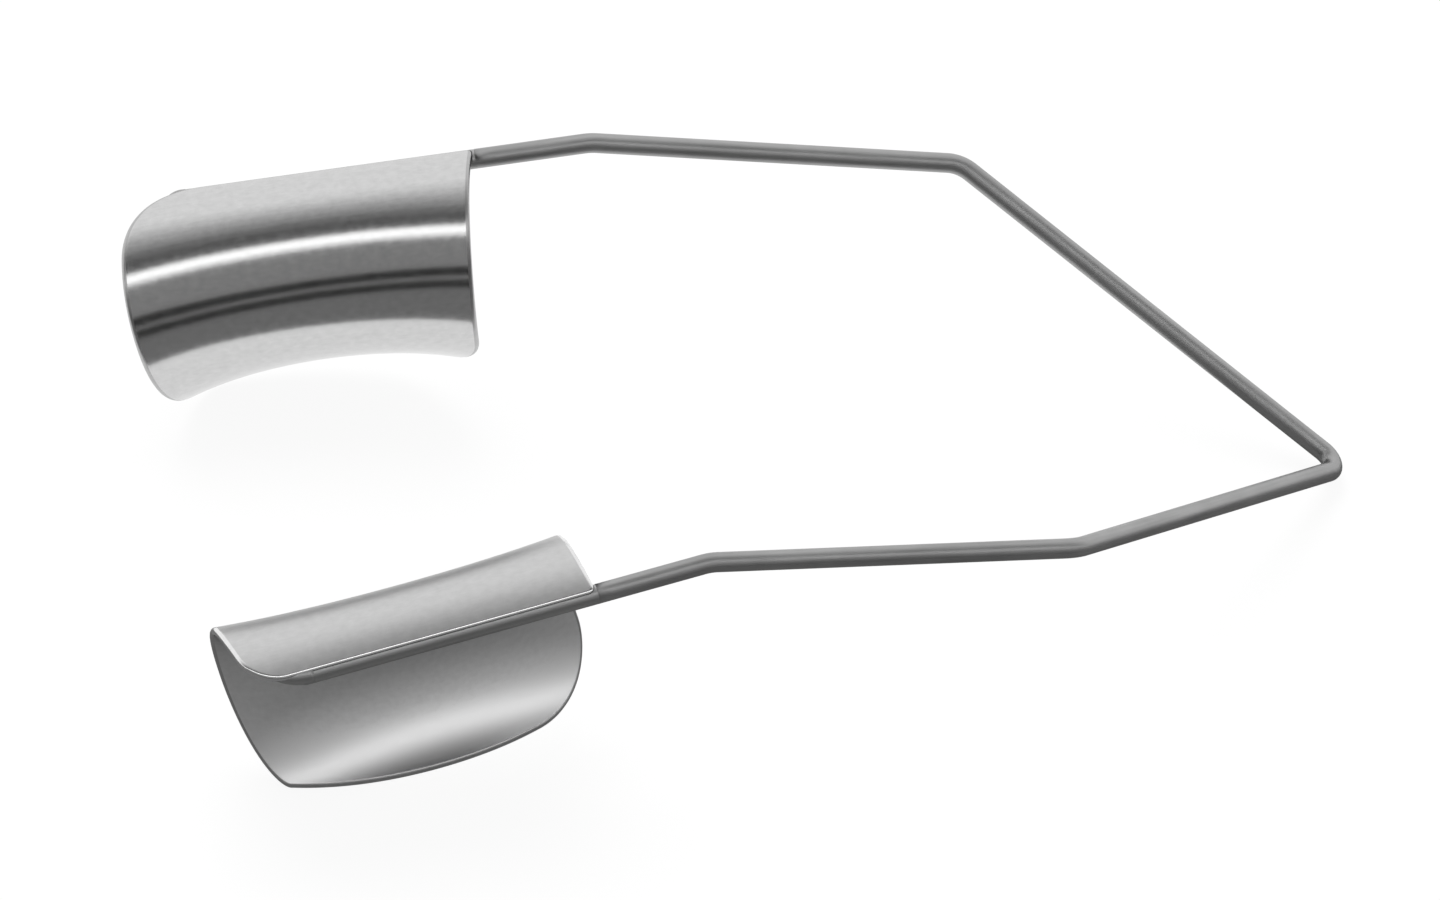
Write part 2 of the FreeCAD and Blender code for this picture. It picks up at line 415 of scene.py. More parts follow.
@dataclass(frozen=True)
class SurfaceMesh:
    """Vertices, faces and grain coordinates of a piece before it becomes an object."""

    points: np.ndarray
    faces: list[tuple[int, ...]]
    grain: np.ndarray
    finishes: list[int]

    def to_object(self, name: str) -> bpy.types.Object:
        """Makes the object.

        Args:
            name: the piece's name.

        Returns:
            A mesh object with smooth quads and flat end faces, which rides on the body.
        """
        mesh = bpy.data.meshes.new(name)
        mesh.from_pydata(self.points.tolist(), [], self.faces)
        mesh.polygons.foreach_set("use_smooth", [len(face) == QUAD_CORNERS for face in self.faces])
        mesh.polygons.foreach_set("material_index", self.finishes)
        attribute = mesh.attributes.new(GRAIN, "FLOAT_VECTOR", "POINT")
        attribute.data.foreach_set("vector", self.grain.astype(np.float32).ravel())
        mesh.update()
        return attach(linked(name, mesh), BODY)


def dress(piece: bpy.types.Object, *finishes: SatinSteel) -> None:
    """Gives a piece its finishes.

    Args:
        piece: the object to dress.
        finishes: the steel for each material index of its faces.
    """
    numbers = np.zeros(len(piece.data.polygons), dtype=np.int32)
    piece.data.polygons.foreach_get("material_index", numbers)
    piece.data.materials.clear()
    for finish in finishes:
        piece.data.materials.append(bpy.data.materials.get(finish.name) or finish.material())
    piece.data.polygons.foreach_set("material_index", numbers)


def rod_faces(ring_count: int, side_count: int) -> list[tuple[int, ...]]:
    """Quads between neighbouring rings of a rod and one face over each end.

    Args:
        ring_count: how many rings the rod has.
        side_count: how many points each ring has.

    Returns:
        The faces as tuples of vertex numbers.
    """
    faces = []
    for ring in range(ring_count - 1):
        for side in range(side_count):
            after = (side + 1) % side_count
            low, high = ring * side_count, (ring + 1) * side_count
            faces.append((low + side, low + after, high + after, high + side))
    last = (ring_count - 1) * side_count
    faces.append(tuple(reversed(range(side_count))))
    faces.append(tuple(last + side for side in range(side_count)))
    return faces


@dataclass(frozen=True)
class WireRoute:
    """Centre line of the spring wire's far half, measured from the corner of the closed bend."""

    diameter: float = 0.00084
    shoulder: tuple[float, float, float] = (-0.01494, 0.01135, 0.00901)
    elbow: tuple[float, float, float] = (-0.03091, 0.01232, 0.01149)
    apex_bend: float = 0.00075
    shoulder_bend: float = 0.0017
    elbow_bend: float = 0.0019
    arm_splay: float = 5.13
    arm_fall: float = 8.52
    elbow_to_blade: float = 0.0052
    blade_length: float = BLADE_LENGTH
    end_setback: float = 0.00175
    flat_lead: float = 0.00031
    flat_step: float = 0.00001

    @property
    def radius(self) -> float:
        """Half of the wire's diameter."""
        return self.diameter / 2

    def arm_direction(self) -> np.ndarray:
        """Direction of the run that carries the blade.

        Returns:
            The unit vector towards the blade's nasal end.
        """
        splay = math.radians(self.arm_splay)
        fall = math.radians(self.arm_fall)
        level = math.cos(fall)
        return np.array([-math.cos(splay) * level, math.sin(splay) * level, -math.sin(fall)])

    def blade_start(self) -> np.ndarray:
        """Where the blade's temporal end lies on the centre line."""
        return np.array(self.elbow) + self.arm_direction() * self.elbow_to_blade

    def blade_axes(self) -> np.ndarray:
        """The far blade's own axes.

        Returns:
            Rows with the directions along it, towards the instrument's middle, and up.
        """
        along = self.arm_direction()
        splay = math.radians(self.arm_splay)
        inward = np.array([-math.sin(splay), -math.cos(splay), 0.0])
        return np.stack([along, inward, np.cross(along, inward)])

    def flat_ends(self) -> list[np.ndarray]:
        """Points of the far arm's centre line on both sides of the ground flat's step."""
        places = (-self.flat_lead, -self.flat_lead - self.flat_step)
        return [self.blade_start() + self.arm_direction() * place for place in places]

    def corners(self) -> tuple[list[np.ndarray], list[float]]:
        """Corner points of the whole wire and the bend radius at each inner one.

        Returns:
            Seven points from the far blade to the near one, and five radii.
        """
        end = self.blade_start() + self.arm_direction() * (self.blade_length - self.end_setback)
        far = [end, np.array(self.elbow), np.array(self.shoulder)]
        points = far + [np.zeros(3)] + [point * MIRROR for point in reversed(far)]
        arm_bends = [self.elbow_bend, self.shoulder_bend]
        return points, arm_bends + [self.apex_bend] + arm_bends[::-1]


@dataclass
class SpringWire:
    """The bent spring wire, swept as a round rod with domed ends."""

    route: WireRoute
    form: "BladeForm"
    sides: int = 40
    run_step: float = 0.0008
    bend_step: float = 4.0
    fewest_bend_steps: int = 4
    dome_rings: int = 8
    dome_tip: float = 0.15
    node: str = "spring_wire"

    def centre_line(self) -> np.ndarray:
        """Follows the straight runs and the arcs between them.

        Returns:
            The centre line's points, from the far blade to the near one.
        """
        corners, radii = self.route.corners()
        line = [corners[0]]
        for place in self.route.flat_ends():
            self.add_run(line, place)
        for before, corner, after, radius in zip(corners, corners[1:], corners[2:], radii):
            back = unit(before - corner)
            ahead = unit(after - corner)
            half = math.acos(float(back @ ahead)) / 2
            middle = unit(back + ahead)
            centre = corner + middle * (radius / math.sin(half))
            start = corner + back * (radius / math.tan(half))
            self.add_run(line, start)
            turn = math.pi - 2 * half
            count = max(self.fewest_bend_steps, math.ceil(math.degrees(turn) / self.bend_step))
            outward = unit(start - centre)
            for index in range(1, count + 1):
                angle = turn * index / count
                line.append(centre + radius * (outward * math.cos(angle) - back * math.sin(angle)))
        for place in reversed(self.route.flat_ends()):
            self.add_run(line, place * MIRROR)
        self.add_run(line, corners[-1])
        return np.array(line)

    def add_run(self, line: list[np.ndarray], end: np.ndarray) -> None:
        """Adds evenly spaced points of a straight run.

        Args:
            line: the points so far, which the run continues.
            end: the run's last point.
        """
        start = line[-1]
        count = max(1, round(float(np.linalg.norm(end - start)) / self.run_step))
        line.extend(start + (end - start) * index / count for index in range(1, count + 1))

    def surface(self) -> SurfaceMesh:
        """Sweeps the rod along its centre line and grinds its flats.

        Returns:
            The rod's mesh, measured from the corner of the closed bend.
        """
        radius = self.route.radius
        line = self.centre_line()
        tangents = unit(np.gradient(line, axis=0))
        tangents[0] = unit(line[1] - line[0])
        tangents[-1] = unit(line[-1] - line[-2])
        across = unit(np.cross(tangents[0], [0.0, 0.0, 1.0]))
        travelled = np.concatenate([[0.0], np.cumsum(np.linalg.norm(np.diff(line, axis=0), axis=1))])
        first, last = tangents[0], tangents[-1]
        stations = [
            (line[0] - first * radius * math.sin(angle), first, math.cos(angle), 0.0)
            for angle in self.dome_angles()
        ]
        stations += [(*station, 1.0, along) for *station, along in zip(line, tangents, travelled)]
        stations += [
            (line[-1] + last * radius * math.sin(angle), last, math.cos(angle), travelled[-1])
            for angle in reversed(self.dome_angles())
        ]
        turn = np.linspace(0, 2 * math.pi, self.sides, endpoint=False)
        points, grain = [], []
        for centre, tangent, share, along in stations:
            across = unit(across - tangent * float(across @ tangent))
            beside = np.cross(tangent, across)
            ring = np.cos(turn)[:, None] * across + np.sin(turn)[:, None] * beside
            points.append(centre + ring * radius * share)
            grain.append(rows_of([along, radius * np.cos(turn), radius * np.sin(turn)]))
        faces = rod_faces(len(stations), self.sides)
        ground = self.ground(np.concatenate(points))
        return SurfaceMesh(ground, faces, np.concatenate(grain), [0] * len(faces))

    def ground(self, points: np.ndarray) -> np.ndarray:
        """Grinds the flats that the blades sit on.

        Args:
            points: the round rod's points.

        Returns:
            The points, with those above a flat moved down onto it.
        """
        axes = self.route.blade_axes()
        _, normal = self.form.seat_frame()
        for flip in (np.ones(3), MIRROR):
            local = (points * flip - self.route.blade_start()) @ axes.T
            height = local @ normal
            start = -self.route.flat_lead - self.route.flat_step / 2
            cut = (local[:, 0] > start) & (height > self.form.flat_height)
            local -= np.where(cut, height - self.form.flat_height, 0.0)[:, None] * normal
            points = (local @ axes + self.route.blade_start()) * flip
        return points

    def dome_angles(self) -> list[float]:
        """Spaces a dome's rings.

        Returns:
            The rings' latitudes in radians, from near its tip to near the rod.
        """
        pole = math.pi / 2
        shares = [(ring + self.dome_tip) / self.dome_rings for ring in range(self.dome_rings)]
        return [pole * (1 - share) for share in shares]

    def place(self) -> np.ndarray:
        """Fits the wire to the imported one's box.

        Returns:
            Where the corner of the closed bend lies in the frame.
        """
        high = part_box(self.node)[1]
        points = self.surface().points
        return np.array([high[0] - points[:, 0].max(), 0.0, high[2] - points[:, 2].max()])

    def build(self, origin: np.ndarray) -> bpy.types.Object:
        """Makes the wire in the frame.

        Args:
            origin: place of the corner of the closed bend.

        Returns:
            The wire's object, which stands for the CAD node.
        """
        surface = self.surface()
        moved = replace(surface, points=surface.points + origin)
        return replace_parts(moved.to_object("wire_rod"), self.node)

    def dress(self, piece: bpy.types.Object) -> None:
        """Gives the wire its drawn finish."""
        dress(piece, WIRE_STEEL)


@dataclass(frozen=True)
class EndEdge:
    """One end of a blank: a shallow arch from lip to lip, with a rounded corner at each.

    Attributes:
        start: place of its upper end along the blade.
        rise: how far its middle arches towards the nasal end.
        rake: how much further its lower end lies than its upper end.
        upper_corner: the upper corner's length along the lip and depth along the edge.
        lower_corner: the same of the lower corner.
    """

    start: float
    rise: float
    rake: float
    upper_corner: tuple[float, float]
    lower_corner: tuple[float, float]

    def at(self, around: np.ndarray, girth: float) -> np.ndarray:
        """Place along the blade of the edge.

        Args:
            around: distance round the section from the upper lip.
            girth: the blank's width from lip to lip.

        Returns:
            The edge's distances from the blade's temporal end.
        """
        share = around / girth
        return self.start + 4 * self.rise * share * (1 - share) + self.rake * share


@dataclass(frozen=True)
class Blank:
    """Temporal and nasal end of one blade's blank."""

    temporal: EndEdge
    nasal: EndEdge


SMALL_CORNER = (0.00035, 0.00035)
BLANKS = {
    Side.FAR: Blank(
        temporal=EndEdge(-0.00027, 0.00042, 0.00069, SMALL_CORNER, (0.00407, 0.00362)),
        nasal=EndEdge(0.01408, 0.00156, -0.00122, (0.00335, 0.00395), (0.00224, 0.00506)),
    ),
    Side.NEAR: Blank(
        temporal=EndEdge(-0.00027, 0.00064, -0.00069, SMALL_CORNER, (0.0033, 0.00305)),
        nasal=EndEdge(0.01445, 0.001, -0.00069, (0.0015, 0.00172), (0.00116, 0.00436)),
    ),
}


@dataclass(frozen=True)
class BladeForm:
    """Form of the sheet blade, in its own frame along the wire."""

    thickness: float = 0.00034
    length: float = BLADE_LENGTH
    half_width: float = 0.00391
    upper_half_height: float = 0.00447
    lower_half_height: float = 0.00591
    seat_angle: float = 110.5
    lip_overhang: float = 0.00009
    lower_lip_angle: float = -67.1
    middle_swing: float = 13.2
    middle_flattening: float = 0.00098
    flat_height: float = 0.0001
    solder_gap: float = 0.000035

    @property
    def mean_radius(self) -> float:
        """Radius that turns girth into section angle."""
        return (2 * self.half_width + self.upper_half_height + self.lower_half_height) / 4

    @property
    def upper_lip_angle(self) -> float:
        """Section angle of the upper lip, in radians."""
        return math.radians(self.seat_angle) + self.lip_overhang / self.mean_radius

    @property
    def girth(self) -> float:
        """Developed width of the blank, from lip to lip."""
        return self.mean_radius * (self.upper_lip_angle - math.radians(self.lower_lip_angle))

    def seat_normal(self, half: Any, excess: Any) -> tuple[Any, float]:
        """Direction out of the sheet where it sits on the wire, not scaled.

        Args:
            half: mean half height of the section.
            excess: half of what its upper part is higher than its lower part.

        Returns:
            The direction's parts across the blade and up.
        """
        seat = math.radians(self.seat_angle)
        return math.cos(seat) * (half + 2 * excess * math.sin(seat)), self.half_width * math.sin(seat)

    def middle(self, x: np.ndarray, around: np.ndarray) -> np.ndarray:
        """Point of the sheet's middle surface.

        Args:
            x: distance along the blade from its temporal end.
            around: distance round the section from the upper lip.

        Returns:
            The points, with the last axis holding x, y and z.
        """
        along = 2 * x / self.length - 1
        share = 1 - along * along
        lower = self.lower_half_height - self.middle_flattening * share
        half = (self.upper_half_height + lower) / 2
        excess = (self.upper_half_height - lower) / 2
        seat = math.radians(self.seat_angle)
        angle = self.upper_lip_angle - around / self.mean_radius
        normal_y, normal_z = self.seat_normal(half, excess)
        height = self.flat_height + self.solder_gap + self.thickness / 2
        offset = height / np.hypot(normal_y, normal_z)
        y = self.half_width * (np.cos(angle) - math.cos(seat)) + normal_y * offset
        rise = half * (np.sin(angle) - math.sin(seat))
        z = rise + excess * (np.sin(angle) ** 2 - math.sin(seat) ** 2) + normal_z * offset
        swing = math.radians(self.middle_swing) * share * (1 - np.cos(seat - angle)) / 2
        swung_y = y * np.cos(swing) + z * np.sin(swing)
        swung_z = z * np.cos(swing) - y * np.sin(swing)
        return rows_of([x, swung_y, swung_z])

    def seat_frame(self) -> tuple[np.ndarray, np.ndarray]:
        """Directions of the ground flat under the lip.

        Returns:
            Unit vectors across the flat and out of it, in the blade's frame.
        """
        half = (self.upper_half_height + self.lower_half_height) / 2
        excess = (self.upper_half_height - self.lower_half_height) / 2
        normal = unit(np.array([0.0, *self.seat_normal(half, excess)]))
        return np.array([0.0, normal[2], -normal[1]]), normal

    def axes(self, x: np.ndarray, around: np.ndarray) -> tuple[np.ndarray, np.ndarray, np.ndarray]:
        """Directions on the sheet at a point.

        Args:
            x: distance along the blade.
            around: distance round the section.

        Returns:
            Unit vectors along the blade, round the section and into the gutter.
        """
        step = NUMERIC_STEP
        along = unit(self.middle(x + step, around) - self.middle(x - step, around))
        beside = unit(self.middle(x, around + step) - self.middle(x, around - step))
        return along, beside, unit(np.cross(beside, along))

    def side_chain(self, edge: EndEdge, inward: float, count: int) -> np.ndarray:
        """One end of the blank with its two rounded corners.

        Args:
            edge: the end edge and its corners.
            inward: 1 where the blade lies at larger x than this edge, or -1.
            count: points on the edge, and on each corner.

        Returns:
            Points (x, around) from the upper lip to the lower lip.
        """
        pieces = [self.corner(edge, inward, 0.0, edge.upper_corner, count)]
        around = np.linspace(edge.upper_corner[1], self.girth - edge.lower_corner[1], count)
        pieces.append(np.stack([edge.at(around, self.girth), around], axis=1)[1:-1])
        pieces.append(self.corner(edge, inward, self.girth, edge.lower_corner, count)[::-1])
        return np.concatenate(pieces)

    def corner(
        self, edge: EndEdge, inward: float, lip: float, size: tuple[float, float], count: int
    ) -> np.ndarray:
        """A quarter of an ellipse from a lip to an end edge.

        Args:
            edge: the end edge.
            inward: 1 where the blade lies at larger x than this edge, or -1.
            lip: place of the lip round the section.
            size: length along the lip and depth along the edge.
            count: how many points it has.

        Returns:
            Points (x, around), from the lip to the edge.
        """
        joint = abs(lip - size[1])
        place, after = (edge.at(joint + step, self.girth) for step in (0, NUMERIC_STEP))
        slope = (after - place) / NUMERIC_STEP
        end = np.array([place, joint])
        tip = np.array([place + slope * (lip - joint), lip])
        start = tip + np.array([inward * size[0], 0.0])
        turn = np.linspace(0, math.pi / 2, count)[:, None]
        return tip + (start - tip) * (1 - np.sin(turn)) + (end - tip) * (1 - np.cos(turn))

    def chains(self, blank: Blank, count: int) -> tuple[np.ndarray, np.ndarray]:
        """The temporal and the nasal end of a blank, as points from lip to lip."""
        return self.side_chain(blank.temporal, 1.0, count), self.side_chain(blank.nasal, -1.0, count)


def on_side(surface: SurfaceMesh, route: WireRoute, origin: np.ndarray, side: Side) -> SurfaceMesh:
    """Moves a mesh from the blade's frame to one side of the instrument.

    Args:
        surface: the mesh in the blade's frame.
        route: the wire that the blade sits on.
        origin: place of the corner of the wire's closed bend.
        side: the half of the instrument.

    Returns:
        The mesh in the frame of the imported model.
    """
    points = surface.points @ route.blade_axes() + route.blade_start() + origin
    faces = surface.faces
    if side is Side.NEAR:
        points = points * MIRROR
        faces = [tuple(reversed(face)) for face in faces]
    return replace(surface, points=points, faces=faces)


@dataclass
class LidBlade:
    """One sheet blade with a rounded rim all the way round."""

    side: Side
    route: WireRoute
    form: BladeForm
    columns: int = 150
    rows: int = 110
    chain_points: int = 120
    rim_steps: int = 8
    lip_share: float = 0.42

    @property
    def node(self) -> str:
        """Name of the CAD node that this blade stands for."""
        return self.side.word + "_blade"

    def inset_chain(self, chain: np.ndarray, outward: float) -> tuple[np.ndarray, np.ndarray]:
        """Moves an end of the blank inwards by the rim's radius.

        Args:
            chain: points (x, around) from the upper lip to the lower lip.
            outward: -1 for the temporal end and 1 for the nasal end.

        Returns:
            The moved points and their outward directions.
        """
        tangent = unit(np.gradient(chain, axis=0))
        tangent[0] = (outward, 0.0)
        tangent[-1] = (-outward, 0.0)
        normal = np.stack([tangent[:, 1], -tangent[:, 0]], axis=1) * outward
        return chain - normal * self.form.thickness / 2, normal

    def grid(self) -> tuple[np.ndarray, np.ndarray, np.ndarray]:
        """Grid of the inset blank.

        Returns:
            Places along and round the blade, and the outward directions at the two ends.
        """
        temporal, nasal = self.form.chains(BLANKS[self.side], self.chain_points)
        temporal, temporal_out = self.inset_chain(temporal, -1.0)
        nasal, nasal_out = self.inset_chain(nasal, 1.0)
        share = (1 - np.cos(np.linspace(0, math.pi, self.rows))) / 2
        inset = self.form.thickness / 2
        around = inset + (self.form.girth - 2 * inset) * share
        start = np.interp(around, temporal[:, 1], temporal[:, 0])
        end = np.interp(around, nasal[:, 1], nasal[:, 0])
        spread = np.linspace(0, 1, self.columns)
        x = start[:, None] + (end - start)[:, None] * spread
        ends = np.stack([
            np.stack([np.interp(around, chain[:, 1], out[:, axis]) for axis in (0, 1)], axis=1)
            for chain, out in ((temporal, temporal_out), (nasal, nasal_out))
        ])
        return x, np.broadcast_to(around[:, None], x.shape), ends

    def rim_loop(self) -> list[tuple[int, int]]:
        """Walks round the grid's border once.

        Returns:
            The row and column of each border point.
        """
        last_row, last_column = self.rows - 1, self.columns - 1
        loop = [(0, column) for column in range(last_column)]
        loop += [(row, last_column) for row in range(last_row)]
        loop += [(last_row, column) for column in range(last_column, 0, -1)]
        loop += [(row, 0) for row in range(last_row, 0, -1)]
        return loop

    def rim_direction(self, row: int, column: int, ends: np.ndarray) -> np.ndarray:
        """Outward direction at a border point of the grid.

        Args:
            row: the point's row.
            column: the point's column.
            ends: outward directions at the two ends, row by row.

        Returns:
            The direction as (x, around).
        """
        if row == 0:
            return np.array([0.0, -1.0])
        if row == self.rows - 1:
            return np.array([0.0, 1.0])
        return unit(ends[0 if column == 0 else 1, row])

    def local_surface(self) -> SurfaceMesh:
        """Makes both sides of the sheet and the round rim between them.

        Returns:
            The blade's closed mesh in its own frame.
        """
        x, around, ends = self.grid()
        middle = self.form.middle(x, around)
        along, beside, out = self.form.axes(x, around)
        half = self.form.thickness / 2
        flat = rows_of([x, around, 0.0]).reshape(-1, 3)
        points = [(middle + out * half).reshape(-1, 3), (middle - out * half).reshape(-1, 3)]
        grain = [flat, flat]
        loop = self.rim_loop()
        angles = [math.pi * (0.5 - step / self.rim_steps) for step in range(1, self.rim_steps)]
        for angle in angles:
            ring, marks = [], []
            for row, column in loop:
                flat_out = self.rim_direction(row, column, ends)
                spot = (row, column)
                level = unit(along[spot] * flat_out[0] + beside[spot] * flat_out[1])
                level = unit(level - out[spot] * float(level @ out[spot]))
                away = level * math.cos(angle) + out[spot] * math.sin(angle)
                ring.append(middle[spot] + half * away)
                marks.append((x[spot], around[spot], 0.0))
            points.append(np.array(ring))
            grain.append(np.array(marks))
        faces, finishes = self.faces(loop)
        return SurfaceMesh(np.concatenate(points), faces, np.concatenate(grain), finishes)

    def faces(self, loop: list[tuple[int, int]]) -> tuple[list[tuple[int, ...]], list[int]]:
        """Quads of the two sides and of the rim.

        Args:
            loop: rows and columns of the border, once round.

        Returns:
            The faces as tuples of vertex numbers, and the number of each face's finish.
        """
        side_count = self.rows * self.columns
        faces = []
        for row in range(self.rows - 1):
            for column in range(self.columns - 1):
                corner = row * self.columns + column
                quad = (corner, corner + self.columns, corner + self.columns + 1, corner + 1)
                faces.append(quad)
                faces.append(tuple(side_count + index for index in reversed(quad)))
        border = [row * self.columns + column for row, column in loop]
        rings = [border]
        for step in range(self.rim_steps - 1):
            first = 2 * side_count + step * len(loop)
            rings.append(list(range(first, first + len(loop))))
        rings.append([side_count + index for index in border])
        finishes = [Zone.INSIDE, Zone.OUTSIDE] * (len(faces) // 2)
        for upper, lower in zip(rings, rings[1:]):
            for index, (row, _) in enumerate(loop):
                after = (index + 1) % len(loop)
                faces.append((upper[index], upper[after], lower[after], lower[index]))
                finishes.append(self.rim_zone(row))
        return faces, finishes

    def rim_zone(self, row: int) -> Zone:
        """Which rim a border point's row lies on: the lip and the ends near it, or the rest."""
        return Zone.LIP_RIM if row < self.rows * self.lip_share else Zone.EDGE_RIM

    def build(self, origin: np.ndarray) -> bpy.types.Object:
        """Makes the blade in the frame.

        Args:
            origin: place of the corner of the wire's closed bend.

        Returns:
            The blade's object, which stands for the CAD node.
        """
        surface = on_side(self.local_surface(), self.route, origin, self.side)
        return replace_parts(surface.to_object(self.side.word + "_lid_blade"), self.node)

    def dress(self, piece: bpy.types.Object) -> None:
        """Gives the blade the finishes of its side."""
        dress(piece, *BLADE_FINISHES[self.side])


@dataclass(frozen=True)
class RunOut:
    """How the solder runs out past the wire's nasal end.

    Attributes:
        length: how far it reaches along the lip.
        inset: how far its tip turns towards the blade's inner wall.
    """

    length: float
    inset: float


RUN_OUTS = {Side.FAR: RunOut(0.0012, 0.0008), Side.NEAR: RunOut(0.00185, 0.0003)}


@dataclass
class SolderSeam:
    """The seam between a blade and the wire, with the run-out that blends in the wire's nasal end."""

    side: Side
    route: WireRoute
    form: BladeForm
    overlap: float = 0.0003
    taper: float = 2.6
    tip_share: float = 0.02
    fullness: float = 0.997
    rings: int = 24
    sides: int = 40

    def local_run_out(self) -> SurfaceMesh:
        """Makes the run-out, a rod that tapers into the sheet.

        Returns:
            The run-out's mesh in the blade's frame.
        """
        across, normal = self.form.seat_frame()
        flat = self.form.flat_height + self.form.solder_gap
        start = self.form.length - self.route.end_setback - self.overlap
        run_out = RUN_OUTS[self.side]
        turn = np.linspace(0, 2 * math.pi, self.sides, endpoint=False)
        points, grain = [], []
        for share in np.sin(np.linspace(0, math.pi / 2, self.rings)):
            left = max(self.tip_share, 1 - share ** self.taper)
            radius = self.route.radius * self.fullness * left
            centre = np.array([start + run_out.length * share, 0.0, 0.0])
            centre += normal * flat * share + across * run_out.inset * share ** 2
            ring = np.cos(turn)[:, None] * across + np.sin(turn)[:, None] * normal
            points.append(centre + ring * radius)
            grain.append(rows_of([centre[0], radius * np.cos(turn), radius * np.sin(turn)]))
        faces = rod_faces(self.rings, self.sides)
        return SurfaceMesh(np.concatenate(points), faces, np.concatenate(grain), [0] * len(faces))

    def build(self, origin: np.ndarray) -> bpy.types.Object:
        """Makes the run-out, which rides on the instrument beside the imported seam.

        Args:
            origin: place of the corner of the wire's closed bend.

        Returns:
            The run-out's object.
        """
        surface = on_side(self.local_run_out(), self.route, origin, self.side)
        return surface.to_object(self.side.word + "_solder_run_out")

    def dress(self, run_out: bpy.types.Object) -> None:
        """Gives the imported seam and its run-out the solder's finish."""
        dress(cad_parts[self.side.word + "_solder_seam"], SOLDER)
        dress(run_out, SOLDER)


@dataclass(frozen=True)
class StripCard:
    """A long card on the camera's side, part of a tube round the X axis, that only reflections show.

    Attributes:
        name: the card's name.
        low: where it starts, as an angle above the table.
        high: where it ends.
        shade: its brightness in a reflection.
        radius: its distance from the X axis.
        half_length: half of its length.
        step: the angle of one of its faces.
        fewest_steps: how many faces it has at least.
        echo: its brightness in the reflection of a reflection.
    """

    name: str
    low: float
    high: float
    shade: float
    radius: float = 0.25
    half_length: float = 0.9
    step: float = 3.0
    fewest_steps: int = 2
    echo: float = 0.04

    def build(self) -> bpy.types.Object:
        """Makes the bent card.

        Returns:
            The card's object.
        """
        count = max(self.fewest_steps, math.ceil((self.high - self.low) / self.step))
        points, faces = [], []
        for index in range(count + 1):
            angle = math.radians(self.low + (self.high - self.low) * index / count)
            place = (-self.radius * math.cos(angle), self.radius * math.sin(angle))
            points += [(-self.half_length, *place), (self.half_length, *place)]
        for index in range(count):
            first = 2 * index
            faces.append((first, first + 1, first + 3, first + 2))
        return self.card(points, faces)

    def card(self, points: list[tuple[float, ...]], faces: list[tuple[int, ...]]) -> bpy.types.Object:
        """Makes a stage object of one even shade that only reflections show.

        Args:
            points: its corners.
            faces: its faces.

        Returns:
            The card's object.
        """
        mesh = bpy.data.meshes.new(self.name)
        mesh.from_pydata(points, [], faces)
        card = linked(self.name, mesh)
        for ray in ("camera", "diffuse", "transmission", "shadow"):
            setattr(card, "visible_" + ray, False)
        material, shader = empty_material(self.name)
        glow = shader.node("ShaderNodeEmission", {}, {"Color": WHITE, "Strength": self.shade})
        echo = shader.node("ShaderNodeEmission", {}, {"Color": WHITE, "Strength": self.echo})
        surface = shader.blend(seen_again(shader), glow, echo)
        shader.node("ShaderNodeOutputMaterial", {}, {"Surface": surface})
        mesh.materials.append(material)
        return card


@dataclass(frozen=True)
class TableCard(StripCard):
    """A card that lies on the table, from y = low to y = high.

    Attributes:
        height: how high it lies above the table.
    """

    height: float = 0.000005

    def build(self) -> bpy.types.Object:
        """Makes the flat card.

        Returns:
            The card's object.
        """
        length = self.half_length
        rows = [(-length, self.low), (length, self.low), (length, self.high), (-length, self.high)]
        return self.card([(x, y, self.height) for x, y in rows], [(0, 1, 2, 3)])


def fade_cards(start: float, step: float, *shades: float) -> tuple[StripCard, ...]:
    """Cards in a row whose shades lead from dark to light.

    Args:
        start: angle at which the first one starts.
        step: angle that each one fills.
        shades: the brightness of each card.

    Returns:
        The cards, one for each shade.
    """
    return tuple(
        StripCard(f"fade_card_{index + 1}", start + step * index, start + step * (index + 1), shade)
        for index, shade in enumerate(shades)
    )


@dataclass(frozen=True)
class PhotoCamera:
    """Camera at the viewing angle of the photograph."""

    azimuth: float = -16.056
    elevation: float = 45.757
    roll: float = 5.805
    distance: float = 0.8
    aim: tuple[float, float, float] = (-0.00174, 0.000089, 0.005415)
    focal_length: float = 476.93
    sensor_width: float = 36.0
    clip_start: float = 0.01
    clip_end: float = 20.0

    def build(self) -> bpy.types.Object:
        """Makes the camera and sets it as the scene's.

        Returns:
            The camera's object.
        """
        turns = (self.azimuth, self.elevation, self.roll)
        azimuth, elevation, roll = (math.radians(turn) for turn in turns)
        level = math.cos(elevation)
        back = Vector((math.sin(azimuth) * level, -math.cos(azimuth) * level, math.sin(elevation)))
        right = Vector((math.cos(azimuth), math.sin(azimuth), 0.0))
        up = back.cross(right)
        turned_right = right * math.cos(roll) + up * math.sin(roll)
        turned_up = up * math.cos(roll) - right * math.sin(roll)
        data = bpy.data.cameras.new("photo_camera")
        data.sensor_fit = "HORIZONTAL"
        data.sensor_width = self.sensor_width
        data.lens = self.focal_length
        data.clip_start = self.clip_start
        data.clip_end = self.clip_end
        camera = linked("photo_camera", data)
        camera.matrix_world = Matrix.Translation(Vector(self.aim) + back * self.distance) @ Matrix(
            (turned_right, turned_up, back)
        ).transposed().to_4x4()
        bpy.context.scene.camera = camera
        return camera


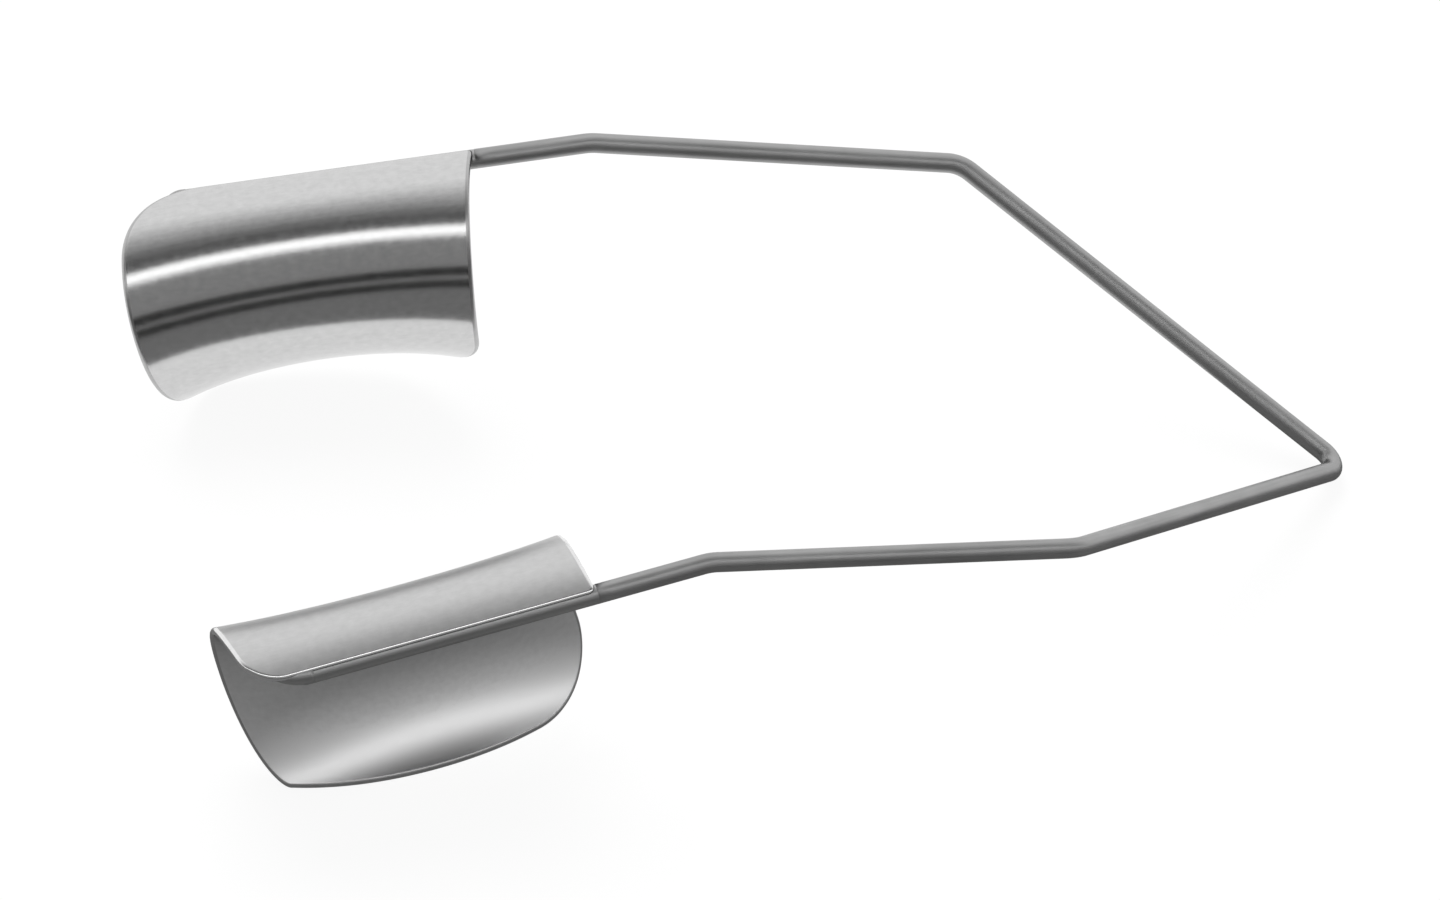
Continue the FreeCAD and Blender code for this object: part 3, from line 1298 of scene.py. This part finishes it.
@dataclass
class Studio:
    """Pale table, white surroundings, one soft lamp and the cards that shape the reflections."""

    table_half: float = 3.0
    table_shade: float = 0.9
    table_glow: float = 0.9
    surround_light: float = 0.8
    surround_echo: float = 0.02
    lamp_power: float = 1.1
    lamp_size: float = 0.25
    lamp_place: tuple[float, float, float] = (-0.06, 0.16, 0.36)
    cards: tuple[StripCard, ...] = (
        TableCard("table_card", -0.05, 0.0035, 0.2),
        TableCard("far_table_card", -2.9, -0.05, 0.07),
        StripCard("horizon_card", 0.0, 7.0, 0.06),
        StripCard("front_card", 7.0, 47.0, 0.28),
        StripCard("strip_light", 52.0, 61.0, 1.8),
        StripCard("upper_card", 64.0, 80.0, 0.12),
        *fade_cards(80.0, 8.0, 0.2, 0.35, 0.5, 0.7, 0.88),
    )

    def build_table(self) -> bpy.types.Object:
        """Makes the pale table, which keeps the instrument's shadow.

        Returns:
            The table's object.
        """
        half = self.table_half
        mesh = bpy.data.meshes.new("table")
        corners = [(-half, -half, 0), (half, -half, 0), (half, half, 0), (-half, half, 0)]
        mesh.from_pydata(corners, [], [(0, 1, 2, 3)])
        table = linked("table", mesh)
        material, shader = empty_material("pale_table")
        pale = (self.table_shade, self.table_shade, self.table_shade, 1.0)
        paper = shader.node("ShaderNodeBsdfDiffuse", {}, {"Color": pale})
        glow = shader.node("ShaderNodeEmission", {}, {"Color": WHITE, "Strength": 1.0})
        share = seen_directly(shader) * self.table_glow
        shader.node("ShaderNodeOutputMaterial", {}, {"Surface": shader.blend(share, paper, glow)})
        mesh.materials.append(material)
        return table

    def build_surroundings(self) -> None:
        """Makes the white world, dimmer as a light and in second reflections than as a background."""
        world = bpy.data.worlds.new("white_studio")
        world.use_nodes = True
        shader = Shader(world.node_tree)
        strength = seen_directly(shader) * (1 - self.surround_light) + self.surround_light
        strength = strength * (1 - seen_again(shader) * (1 - self.surround_echo))
        white = shader.node("ShaderNodeBackground", {}, {"Color": WHITE, "Strength": strength})
        shader.node("ShaderNodeOutputWorld", {}, {"Surface": white})
        bpy.context.scene.world = world

    def build_lamp(self) -> bpy.types.Object:
        """Makes the soft lamp above and behind the instrument.

        Returns:
            The lamp's object.
        """
        data = bpy.data.lights.new("soft_lamp", "AREA")
        data.energy = self.lamp_power
        data.size = self.lamp_size
        lamp = linked("soft_lamp", data)
        lamp.location = self.lamp_place
        lamp.rotation_euler = Vector(self.lamp_place).to_track_quat("Z", "Y").to_euler()
        lamp.visible_camera = False
        lamp.visible_glossy = False
        return lamp

    def build(self) -> None:
        """Makes everything that surrounds the instrument."""
        bpy.context.scene.view_settings.view_transform = "Standard"
        self.build_table()
        self.build_surroundings()
        self.build_lamp()
        for card in self.cards:
            card.build()
            log.info("card %s", card.name)
        PhotoCamera().build()


def main() -> None:
    """Builds and dresses the instrument, piece by piece, and then its surroundings."""
    logging.basicConfig(level=logging.INFO, format="%(name)s: %(message)s")
    route, form = WireRoute(), BladeForm()
    wire = SpringWire(route, form)
    origin = wire.place()
    rod = wire.build(origin)
    wire.dress(rod)
    log.info("%s: %d faces", rod.name, len(rod.data.polygons))
    for side in Side:
        blade = LidBlade(side, route, form)
        piece = blade.build(origin)
        blade.dress(piece)
        log.info("%s: %d faces", piece.name, len(piece.data.polygons))
        seam = SolderSeam(side, route, form)
        run_out = seam.build(origin)
        seam.dress(run_out)
        log.info("%s: %d faces", run_out.name, len(run_out.data.polygons))
    Studio().build()


if __name__ == "__main__":
    main()
